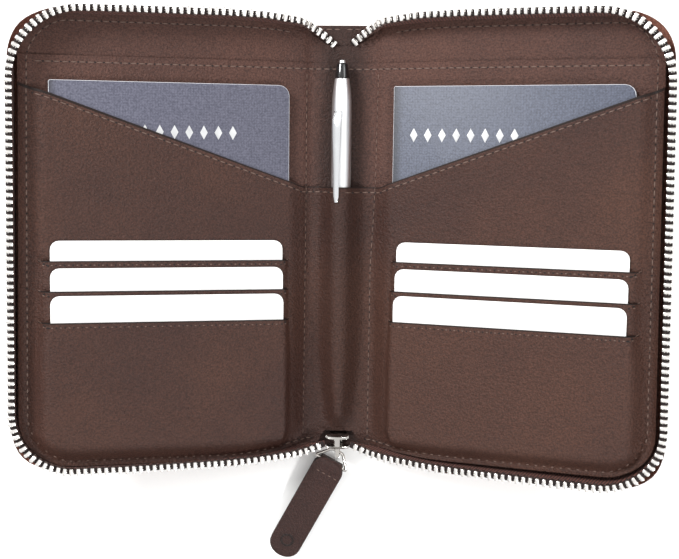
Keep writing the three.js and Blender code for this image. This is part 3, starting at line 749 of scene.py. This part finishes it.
def tape_strip(name, side):
    """Zip tape: a strip from under the lining up to the teeth, with the cord the teeth grip."""
    chain, root = CHAIN[side], ROOT[side]
    tape = begin(f"{name}_zip_tape_weave", bpy.ops.mesh.primitive_grid_add,
                 x_subdivisions=len(chain) - 1, y_subdivisions=len(TAPE_SECTION) - 1, size=2)
    highs = [placed(point, CHAIN_HEIGHT, side) for point in chain]
    lows = [placed(point, ROOT_HEIGHT, side) for point in root]
    for vertex in tape.data.vertices:
        i = round((vertex.co.x + 1) / 2 * (len(chain) - 1))
        share, sideways = TAPE_SECTION[round((vertex.co.y + 1) / 2 * (len(TAPE_SECTION) - 1))]
        along = (highs[min(i + 1, len(chain) - 1)] - highs[max(i - 1, 0)]).normalized()
        flat = along.cross(highs[i] - lows[i]).normalized()
        vertex.co = lows[i].lerp(highs[i], share) + flat * sideways * MM
    for face in tape.data.polygons:
        strip = face.index // (len(chain) - 1)
        # Painted shade: the cord strips under the teeth take the near-black cord finish.
        face.material_index = 1 if 4 <= strip <= 9 else 0
    edit(tape, lambda: bpy.ops.mesh.remove_doubles(threshold=0.00001),
         lambda: bpy.ops.mesh.select_non_manifold(extend=False),
         lambda: bpy.ops.mesh.edge_face_add())
    edit(tape, lambda: bpy.ops.mesh.normals_make_consistent(inside=False))
    smooth(tape, 60)
    dress(tape, TAPE, SHADED_CORD)
    return tape


def one_tooth():
    """One zip tooth standing on the path: a rounded metal block with a nib on one face."""
    tooth = begin("tooth", bpy.ops.mesh.primitive_cube_add, size=1)
    tooth.scale = (1.42, 3.0, 2.5)
    settle(tooth)
    round_edges(tooth, 0.42, 40)
    edit(tooth, lambda: bpy.ops.mesh.inset(thickness=0.5),
         lambda: bpy.ops.mesh.extrude_region_move(TRANSFORM_OT_translate={"value": (0.25, 0, 0)}),
         faces=lambda face: face.normal.x > 0.99)
    return tooth


def path_frames(side, pitch, wanted):
    """Evenly spaced places along the tooth path, a pitch apart from the first wanted one on:
    point, direction and the tape's lean there."""
    line = [placed(point, CHAIN_HEIGHT, side) for point in CHAIN[side]]
    base = [placed(point, ROOT_HEIGHT, side) for point in ROOT[side]]
    dense, dense_base = [], []
    for i in range(len(line) - 1):
        p0, p1 = line[max(i - 1, 0)], line[i]
        p2, p3 = line[i + 1], line[min(i + 2, len(line) - 1)]
        for k in range(8):
            t = k / 8
            dense.append(0.5 * ((2 * p1) + (p2 - p0) * t + (2 * p0 - 5 * p1 + 4 * p2 - p3) * t * t
                                + (3 * p1 - p0 - 3 * p2 + p3) * t * t * t))
            dense_base.append(base[i].lerp(base[i + 1], t))
    dense.append(line[-1])
    dense_base.append(base[-1])
    frames, travelled = [], 0.0
    for i in range(len(dense) - 1):
        step = (dense[i + 1] - dense[i]).length
        while travelled + step >= wanted:
            t = (wanted - travelled) / step
            point = dense[i].lerp(dense[i + 1], t)
            along = (dense[i + 1] - dense[i]).normalized()
            up = (point - dense_base[i].lerp(dense_base[i + 1], t)).normalized()
            frames.append((point, along, up))
            wanted += pitch
        travelled += step
    return frames


def teeth_row(name, side):
    tooth = one_tooth()
    copies = []
    offset = 0.0 if side < 0 else TOOTH_PITCH / 2
    leaf_up = Vector((-side * math.sin(OPEN), 0, math.cos(OPEN)))
    for point, along, up in path_frames(side, TOOTH_PITCH * MM, (0.4 + offset) * MM):
        tilt = up.lerp(leaf_up, 0.65).normalized()
        across = tilt.cross(along).normalized()
        tilt = along.cross(across).normalized()
        turn = Matrix((along, across, tilt)).transposed().to_4x4()
        copies.append(placed_copy(tooth, Matrix.Translation(point) @ turn @ Matrix.Scale(MM, 4)))
    bpy.context.view_layer.update()
    row = join(f"{name}_teeth_row", copies)
    settle(row)
    bpy.data.objects.remove(tooth)
    smooth(row, 45)
    dress(row, TEETH)
    return row


for name, side in SIDES:
    tape = tape_strip(name, side)
    bend_with_leaf(tape, side, *ZIP_FOLD)
    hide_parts(f"{name}_zip_tape")
    row = teeth_row(name, side)
    bend_with_leaf(row, side, *ZIP_FOLD)
    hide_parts(f"{name}_zip_teeth", f"{name}_zip_end_foot", f"{name}_zip_end_head")


# ---- stitching -----------------------------------------------------------------------------
def under_top(across, along):
    """Height of the underside of the uppermost leather, and its thickness."""
    turn = ease(FOLD_START, FOLD_END, across)
    if pocket_bottom(across) < along < pocket_top(across) + 0.2:
        band = sum(1 for lip in LIPS if along < lip)
        return mix(*pocket_heights(band)(across, along), turn), POCKET_THICK
    if slip_bottom(across) < along < SLIP_TOP:
        return mix(*SLIP_UNDER, turn), SLIP_THICK
    if lining_bottom(across) < along < lining_top(across):
        return mix(*LINING_UNDER, turn), LINING_THICK
    return 0, COVER_THICK


def top_leather(across, along):
    """Height of the uppermost leather's face, allowing for its slope."""
    under, thickness = under_top(across, along)
    slope_x = (under_top(across + 0.2, along)[0] - under) / 0.2
    slope_y = (under_top(across, along + 0.05)[0] - under) / 0.05
    if abs(slope_y) > 3:
        slope_y = 0
    height = under + thickness * math.sqrt(1 + min(slope_x * slope_x, 9) + slope_y * slope_y)
    return height, height


def stitch_line(points):
    """Places along a flat path, one for each stitch: middle and direction."""
    runs = [math.hypot(x1 - x0, y1 - y0) for (x0, y0), (x1, y1) in zip(points, points[1:])]
    total, pitch = sum(runs), STITCH_LENGTH + STITCH_GAP
    count = max(int((total + STITCH_GAP) / pitch), 1)
    found = []
    for i in range(count):
        wanted = (total - count * pitch + STITCH_GAP) / 2 + i * pitch + STITCH_LENGTH / 2
        piece = 0
        while piece < len(runs) - 1 and wanted > runs[piece]:
            wanted -= runs[piece]
            piece += 1
        (x0, y0), (x1, y1) = points[piece], points[piece + 1]
        share = wanted / runs[piece]
        found.append((mix(x0, x1, share), mix(y0, y1, share), math.atan2(y1 - y0, x1 - x0)))
    return found


def one_stitch():
    """One stitch of thick thread: a low rounded bar that dives at both ends."""
    stitch = begin("stitch", bpy.ops.mesh.primitive_cylinder_add, vertices=6, radius=0.24,
                   depth=STITCH_BAR, rotation=(0, math.pi / 2, 0))
    settle(stitch)
    edit(stitch, lambda: bpy.ops.mesh.subdivide(number_cuts=1))
    for vertex in stitch.data.vertices:
        end = abs(vertex.co.x) / (STITCH_BAR / 2)
        vertex.co.y *= 1 - 0.45 * end ** 3
        vertex.co.z = vertex.co.z * 0.6 - 0.22 * end ** 2
    return stitch


def one_hole():
    """Needle hole: a small dark dimple between two stitches."""
    hole = begin("hole", bpy.ops.mesh.primitive_uv_sphere_add, segments=6, ring_count=4,
                 radius=0.37)
    edit(hole, lambda: bpy.ops.transform.resize(value=(1.0, 0.9, 0.28)))
    edit(hole, lambda: bpy.ops.transform.translate(value=(0, 0, -0.03)),
         faces=lambda face: face.center.z > 0.05)
    return hole


STITCH, NEEDLE_HOLE = one_stitch(), one_hole()


def sew(name, side, lines, proud=0.08):
    """Sews stitches and needle holes along flat paths on one half; proud is how far the thread
    stands out of the leather's face."""
    threads, holes = [], []
    for line in lines:
        for across, along, angle in stitch_line(line):
            turn = Matrix.Rotation(angle, 4, "Z")
            for source, found, step in ((STITCH, threads, 0.0), (NEEDLE_HOLE, holes, HOLE_STEP)):
                place = Vector((across + math.cos(angle) * step,
                                along + math.sin(angle) * step, 0))
                found.append(placed_copy(source, Matrix.Translation(place) @ turn))
    bpy.context.view_layer.update()
    for label, pieces, finish_used, lift in (("thread", threads, THREAD, proud),
                                             ("holes", holes, HOLE, 0.0)):
        seam = join(f"{name}_{label}", pieces)
        settle(seam)
        for vertex in seam.data.vertices:
            vertex.co.z += lift
        drape(seam, side, top_leather)
        smooth(seam, 60)
        dress(seam, finish_used)
        bend_with_leaf(seam, side)


def perimeter():
    """Seam path round one leaf, from the head by the spine to the foot."""
    side, head, foot, radius = LINING_OUTER - 3.0, LINING_HALF - 2.6, -LINING_HALF + 2.0, 14
    points = [(20, head - 0.6), (26, head)]
    points += arc(HINGE + side - radius, head - radius, radius, 1, 0, 16)
    points += arc(HINGE + side - radius, foot + radius, radius, 0, -1, 16)
    return points + [(x, lining_bottom(x) + 2.0) for x in (38, 32, 27, 22, 18, 14, 10)]


SEAM_END = HINGE + 102.5
SPINE_SEAM = {-1: [(14.2, 63.6), (14.2, 18), (14.4, -10), (14.8, -76.5)],
              1: [(14.2, 63.6), (13.4, 18), (11.6, -10), (11.4, -76.5)]}


def slot_ends(lip):
    """Hooked bar tacks at both ends of a card slot."""
    tacks = []
    for x, way in ((HINGE + 9.2, 1), (HINGE + 100.0, -1)):
        tacks.append([(x - way * 0.9, lip + 0.9), (x + way * 1.2, lip - 0.9)])
        tacks.append([(x - way * 0.4, lip - 1.5), (x + way * 2.6, lip - 1.7)])
    return tacks


for name, side in SIDES:
    sew(f"{name}_edge_seam", side, [perimeter()])
    sew(f"{name}_head_seam", side, [[(0.4, 79.9), (10.5, 79.9)]])
    sew(f"{name}_slip_mouth_seam", side, [[(0.4, SLIP_TOP - 2.2), (SEAM_END, SLIP_TOP - 2.2)]])
    slant = [(x, pocket_top(x) - 2.0) for x in spread(0.4, SEAM_END, 30)]
    sew(f"{name}_pocket_mouth_seam", side, [slant])
    sew(f"{name}_spine_seam", side, [SPINE_SEAM[side]])
    slots = [[(HINGE + CARD_LEFT + 1, lip - drop), (HINGE + CARD_RIGHT + 1, lip - drop)]
             for lip, drop in ((LIPS[0], 1.5), (LIPS[2], 1.7))]
    for lip in LIPS:
        slots += slot_ends(lip)
    sew(f"{name}_slot_seam", side, slots, proud=-0.05)
bpy.data.objects.remove(STITCH)
bpy.data.objects.remove(NEEDLE_HOLE)


# ---- pieces kept from the CAD, with softened copies where they show -------------------------
def refined(cad_name, name, round_edge, finish_used, body, segments=2):
    """A copy of a CAD piece with merged facets and rounded edges."""
    source = frame["nodes"][cad_name]
    copy = source.copy()
    copy.data = source.data.copy()
    copy.parent = None
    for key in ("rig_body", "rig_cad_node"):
        if key in copy:
            del copy[key]
    bpy.context.scene.collection.objects.link(copy)
    copy.name = name
    copy.data.name = name
    copy.matrix_world = Matrix.Identity(4)
    edit(copy, lambda: bpy.ops.mesh.remove_doubles(threshold=0.00001),
         lambda: bpy.ops.mesh.dissolve_limited(angle_limit=math.radians(1)))
    round_edges(copy, round_edge * MM, 30, segments)
    smooth(copy, 40)
    dress(copy, finish_used)
    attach(copy, body)
    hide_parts(cad_name)
    return copy


slider = refined("zip_slider", "zip_slider_body", 0.3, FITTINGS, "slider", 3)


def bow_mouth(thing):
    """Curves the slider's two plates towards its post at the mouth, and sags their lips."""
    half_width, sag, bow = 4.6 * MM, 1.3 * MM, 0.7 * MM
    edit(thing, lambda: bpy.ops.mesh.subdivide(number_cuts=3))
    for vertex in thing.data.vertices:
        share = 1 - min(abs(vertex.co.x) / half_width, 1) ** 2
        rise = ease(6, 9.5, vertex.co.z / MM)
        inner = ease(-80.9, -79.2, vertex.co.y / MM)
        vertex.co.z -= sag * share * rise * inner
        vertex.co.y -= bow * share * rise * inner


bow_mouth(slider)
tab = refined("pull_tab", "pull_tab_leather", 0.35, PULL_LEATHER, "tab", 3)


def pull_place():
    """Matrix that takes the pull's flat drawing to its place on the slider."""
    ring = JOINTS["pull_ring_swing"]
    axis = Vector(ring["axis"]) * -1
    pivot = Vector(ring["pos_m"])
    bar = Vector(JOINTS["pull_tab_swing"]["pos_m"])
    out = (bar - pivot).normalized() * -1
    up = axis.cross(out).normalized()
    turn = Matrix((axis, out, up)).transposed().to_4x4()
    return Matrix.Translation(pivot) @ turn @ Matrix.Scale(MM, 4)


def wire_ring():
    """Bent round wire: a narrow bar in the slider's eye and a wide one inside the leather fold."""
    wire_radius, bend = 0.6, 1.1
    curve = bpy.data.curves.new("ring_wire", "CURVE")
    curve.dimensions = "3D"
    curve.bevel_depth = wire_radius
    curve.bevel_resolution = 4
    corners = [Vector(corner) for corner in ((2.4, 0, 0), (-2.4, 0, 0), (-6.9, -5.8, 0),
                                             (6.9, -5.8, 0))]
    points = []
    for i, corner in enumerate(corners):
        before = (corners[i - 1] - corner).normalized()
        after = (corners[(i + 1) % 4] - corner).normalized()
        for k in range(5):
            t = k / 4
            start, end = corner + before * bend, corner + after * bend
            points.append(start.lerp(corner, t).lerp(corner.lerp(end, t), t))
    spline = curve.splines.new("POLY")
    spline.points.add(len(points) - 1)
    for slot_point, point in zip(spline.points, points):
        slot_point.co = (*point, 1)
    spline.use_cyclic_u = True
    ring = bpy.data.objects.new("pull_ring_wire", curve)
    bpy.context.scene.collection.objects.link(ring)
    only(ring)
    bpy.ops.object.convert(target="MESH")
    ring = added("pull_ring_wire")
    ring.matrix_world = pull_place()
    settle(ring)
    smooth(ring, 60)
    dress(ring, FITTINGS)
    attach(ring, "ring")
    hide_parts("pull_ring")


wire_ring()

# The leather tab hangs from the ring's wide bar; its flat faces look along this direction.
TAB_BAR = Vector(JOINTS["pull_tab_swing"]["pos_m"])
TAB_SIDE = Vector(JOINTS["pull_tab_swing"]["axis"]).normalized()


def tab_directions():
    """Down the tab and out of its face, from where its mesh lies."""
    middle = sum((vertex.co for vertex in tab.data.vertices), Vector()) / len(tab.data.vertices)
    down = middle - TAB_BAR
    down = (down - TAB_SIDE * down.dot(TAB_SIDE)).normalized()
    face = TAB_SIDE.cross(down).normalized()
    return down, face if face.z > 0 else -face


TAB_DOWN, TAB_FACE = tab_directions()
# How far down the tab its seam and its pressed ring lie, and the seam's pitch.
TAB_SEAM_DROP, TAB_SEAM_PITCH, EMBOSSING_DROP = 4.7, 2.5, 36.7
for face in tab.data.polygons:
    flat = abs(face.normal.dot(TAB_FACE)) > 0.5 or abs(face.normal.dot(TAB_SIDE)) < 0.4
    face.material_index = 0 if flat else 1
dress(tab, PULL_LEATHER, EDGE_PAINT)


def on_tab(drop, sideways):
    """Point on the tab's outer face."""
    start = TAB_BAR + TAB_DOWN * drop * MM + TAB_SIDE * sideways * MM + TAB_FACE * 0.02
    return tab.ray_cast(start, -TAB_FACE)[1]


def tab_turn():
    axes = Matrix((TAB_SIDE, TAB_FACE.cross(TAB_SIDE), TAB_FACE))
    return axes.transposed().to_4x4() @ Matrix.Scale(MM, 4)


def tab_stitches():
    pieces = []
    for i in range(4):
        piece = one_stitch()
        place = on_tab(TAB_SEAM_DROP, -4.5 + i * TAB_SEAM_PITCH)
        piece.matrix_world = Matrix.Translation(place) @ tab_turn()
        pieces.append(piece)
    bpy.context.view_layer.update()
    row = join("pull_tab_stitches", pieces)
    settle(row)
    smooth(row, 60)
    dress(row, THREAD)
    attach(row, "tab")


def tab_embossing():
    """Blind-embossed plain ring near the tab's end."""
    ring = begin("pull_tab_embossing", bpy.ops.mesh.primitive_torus_add, major_radius=2.3,
                 minor_radius=0.42, major_segments=40, minor_segments=8)
    edit(ring, lambda: bpy.ops.transform.resize(value=(1.0, 1.0, 0.42)))
    edit(ring, lambda: bpy.ops.transform.translate(value=(0, 0, -0.04)),
         faces=lambda face: face.normal.z > 0.8)
    ring.matrix_world = Matrix.Translation(on_tab(EMBOSSING_DROP, 0)) @ tab_turn()
    settle(ring)
    smooth(ring, 60)
    # The pressed ring is dressed in painted shade.
    dress(ring, PRESSED_SHADE_LEATHER)
    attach(ring, "tab")


tab_stitches()
tab_embossing()


# ---- passports -----------------------------------------------------------------------------
for name, side in SIDES:
    booklet = refined(f"{name}_passport_cover", f"{name}_booklet_cover", 0.14, CLOTHS[name],
                      f"{name}_passport")
    upright = Vector((-side * math.sin(OPEN), 0, math.cos(OPEN)))
    for face in booklet.data.polygons:
        face.material_index = 0 if abs(face.normal.dot(upright)) > 0.97 else 1
    dress(booklet, CLOTHS[name], CLOTH_EDGE)
    dress(frame["nodes"][f"{name}_passport_pages"], PAPER)
    dress(frame["nodes"][f"{name}_stiffener_board"], BOARD)
    for label in ("upper", "middle", "lower"):
        dress(frame["nodes"][f"{name}_card_{label}"], CARD)
        dress(frame["nodes"][f"{name}_card_divider_{label}"], TWILL)


# Pitch of the foil lozenges, how far up the booklet they lie and how high above the leaf.
LOZENGE_PITCH, LOZENGE_ROW, LOZENGE_LIFT, LOZENGES = 5.4, 40.2, 6.66, 8


def one_lozenge():
    """One foil-blocked lozenge: a thin plate with a pressed border."""
    lozenge = begin("lozenge", bpy.ops.mesh.primitive_cylinder_add, vertices=4, radius=2.6,
                    depth=0.05)
    lozenge.scale = (0.55, 1.0, 1.0)
    settle(lozenge)
    edit(lozenge, lambda: bpy.ops.mesh.inset(thickness=0.35),
         lambda: bpy.ops.transform.translate(value=(0, 0, 0.02)),
         faces=lambda face: face.normal.z > 0.9)
    return lozenge


def foil_row(name, side):
    """Foil-blocked border on a booklet: a row of plain lozenges instead of a title."""
    first = -67.8 if side < 0 else 29.7 - HINGE
    lozenge = one_lozenge()
    pieces = [placed_copy(lozenge, Matrix.Translation((first + i * LOZENGE_PITCH, LOZENGE_ROW,
                                                       LOZENGE_LIFT))) for i in range(LOZENGES)]
    bpy.data.objects.remove(lozenge)
    bpy.context.view_layer.update()
    row = join(f"{name}_foil_border", pieces)
    settle(row)
    hinge = Vector((side * HINGE, 0, 0)) * MM
    row.matrix_world = (Matrix.Translation(hinge) @ Matrix.Rotation(-side * OPEN, 4, "Y")
                        @ Matrix.Scale(MM, 4))
    settle(row)
    dress(row, FOIL)
    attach(row, f"{name}_passport")


for name, side in SIDES:
    foil_row(name, side)


# ---- pen -----------------------------------------------------------------------------------
def turned(name, outline, finish_used, replaced, segments=48):
    """A turned part: its outline is spun round the pen's axis."""
    part = begin(name, bpy.ops.mesh.primitive_circle_add, vertices=segments, radius=1,
                 fill_type="NGON")
    for vertex in part.data.vertices:
        vertex.co = (vertex.co.x * outline[0][0], outline[0][1], -vertex.co.y * outline[0][0])

    def grow():
        for (r0, y0), (r1, y1) in zip(outline, outline[1:]):
            bpy.ops.mesh.extrude_region_move(TRANSFORM_OT_translate={"value": (0, y1 - y0, 0)})
            bpy.ops.transform.resize(value=(r1 / r0, 1, r1 / r0), center_override=(0, y1, 0))

    edit(part, grow, faces=lambda face: True)
    edit(part, lambda: bpy.ops.mesh.normals_make_consistent(inside=False))
    part.location = (0, 0, PEN_Z * MM)
    part.scale = (MM, MM, MM)
    settle(part)
    smooth(part, 35)
    dress(part, finish_used)
    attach(part, "pen")
    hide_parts(replaced)
    return part


# Outlines from the point to the end, in millimetres: radius and place along the axis.
turned("pen_barrel_shell", [
    (1.2, -66.4), (1.5, -66), (2.0, -62), (2.6, -57), (3.0, -50), (3.3, -44), (3.5, -30),
    (3.6, -18), (3.6, 18), (3.74, 24), (3.74, 48), (3.62, 53), (3.3, 57), (2.75, 61),
    (2.5, 61.2)], PEN_METAL, "pen_barrel")
turned("pen_writing_point", [
    (0.3, -70), (0.42, -69.8), (0.5, -68.6), (1.1, -66.8), (1.15, -66.6)],
    PEN_METAL, "pen_point", 24)
turned("pen_collar_ring", [
    (2.45, 61.4), (2.6, 61.5), (2.54, 62.4), (2.1, 66.3), (1.98, 66.6)],
    PEN_BLACK, "pen_collar")
turned("pen_end_button", [
    (1.1, 66.8), (1.2, 66.9), (1.2, 67.6), (1.0, 67.9), (0.7, 68)],
    PEN_METAL, "pen_button", 32)


def pen_clip():
    """Spring clip: a tapering strip that grows out of the barrel and dips at its widest, rounded
    end.
    """
    start_gap, height, turn = 1.5, 4.62, math.radians(-19)
    low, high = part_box("pen_clip")
    clip = begin("pen_clip_spring", bpy.ops.mesh.primitive_cube_add, size=2)
    edit(clip, lambda: bpy.ops.mesh.subdivide(number_cuts=15))
    length = (high.y - low.y) / MM
    for vertex in clip.data.vertices:
        share = (vertex.co.y + 1) / 2
        half = mix(1.15, 1.75, ease(0.2, 1, share))
        half *= math.sqrt(max(1 - max(0.06 - share, 0) ** 2 / 0.0036 * 0.75, 0))
        crown = 0.22 * (1 - vertex.co.x ** 2) if vertex.co.z > 0 else 0
        rise = height + vertex.co.z * 0.3 + crown - 1.5 * ease(0.86, 1, share)
        along = low.y / MM + start_gap + share * (length - start_gap)
        vertex.co = (vertex.co.x * half, along, rise)
    round_edges(clip, 0.16, 50)
    clip.matrix_world = (Matrix.Translation((0, 0, PEN_Z * MM)) @ Matrix.Rotation(turn, 4, "Y")
                         @ Matrix.Scale(MM, 4))
    settle(clip)
    smooth(clip, 40)
    dress(clip, CLIP_METAL)
    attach(clip, "pen")
    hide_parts("pen_clip")


pen_clip()
dress(frame["nodes"]["zip_bottom_stop"], FITTINGS)


# ---- floor, light and camera ---------------------------------------------------------------
floor = begin("studio_floor", bpy.ops.mesh.primitive_plane_add, size=6, location=(0, 0, -0.0004))
# Seamless paper: even, matt and nearly pure white.
paper = finish("matt white studio paper", "fbfbfa", Roughness=0.9)[0]
dress(floor, paper)

world = bpy.context.scene.world or bpy.data.worlds.new("studio")
bpy.context.scene.world = world
world.use_nodes = True
towards = node(world, "TexCoord").outputs["Generated"]
split = node(world, "SeparateXYZ", {"Vector": towards})
fade = node(world, "MapRange", {"Value": split.outputs["Z"]}, From_Min=0.0, From_Max=0.75,
            To_Min=0.3, To_Max=0.97)
background = world.node_tree.nodes["Background"]
background.inputs["Color"].default_value = linear("ffffff")
world.node_tree.links.new(fade.outputs["Result"], background.inputs["Strength"])
bpy.context.scene.view_settings.view_transform = "Standard"


def lamp(name, place, size, power):
    light = bpy.data.lights.new(name, "AREA")
    light.shape = "DISK"
    light.size = size
    light.energy = power
    thing = bpy.data.objects.new(name, light)
    bpy.context.scene.collection.objects.link(thing)
    thing.location = place
    thing.rotation_euler = (-Vector(place)).to_track_quat("-Z", "Y").to_euler()


lamp("key_softbox", (-0.72, 0.6, 0.76), 0.42, 16.0)
lamp("fill_softbox", (0.75, 0.45, 0.8), 0.5, 2.4)
lamp("foot_softbox", (0.5, -0.55, 0.75), 0.14, 4.6)

camera_data = bpy.data.cameras.new("camera")
camera_data.sensor_width = 36.0
camera_data.lens = 59.5882
camera_data.clip_start = 0.01
camera = bpy.data.objects.new("camera", camera_data)
bpy.context.scene.collection.objects.link(camera)
pitch, yaw, roll = 0.1093, -0.0658, -0.01974
turn = (Matrix.Rotation(roll, 3, "Z") @ Matrix.Rotation(yaw, 3, "Y")
        @ Matrix.Rotation(pitch, 3, "X"))
camera.matrix_world = Matrix.Translation((0.0283, 0.0320, 0.4342)) @ turn.transposed().to_4x4()
bpy.context.scene.camera = camera

bpy.context.view_layer.update()
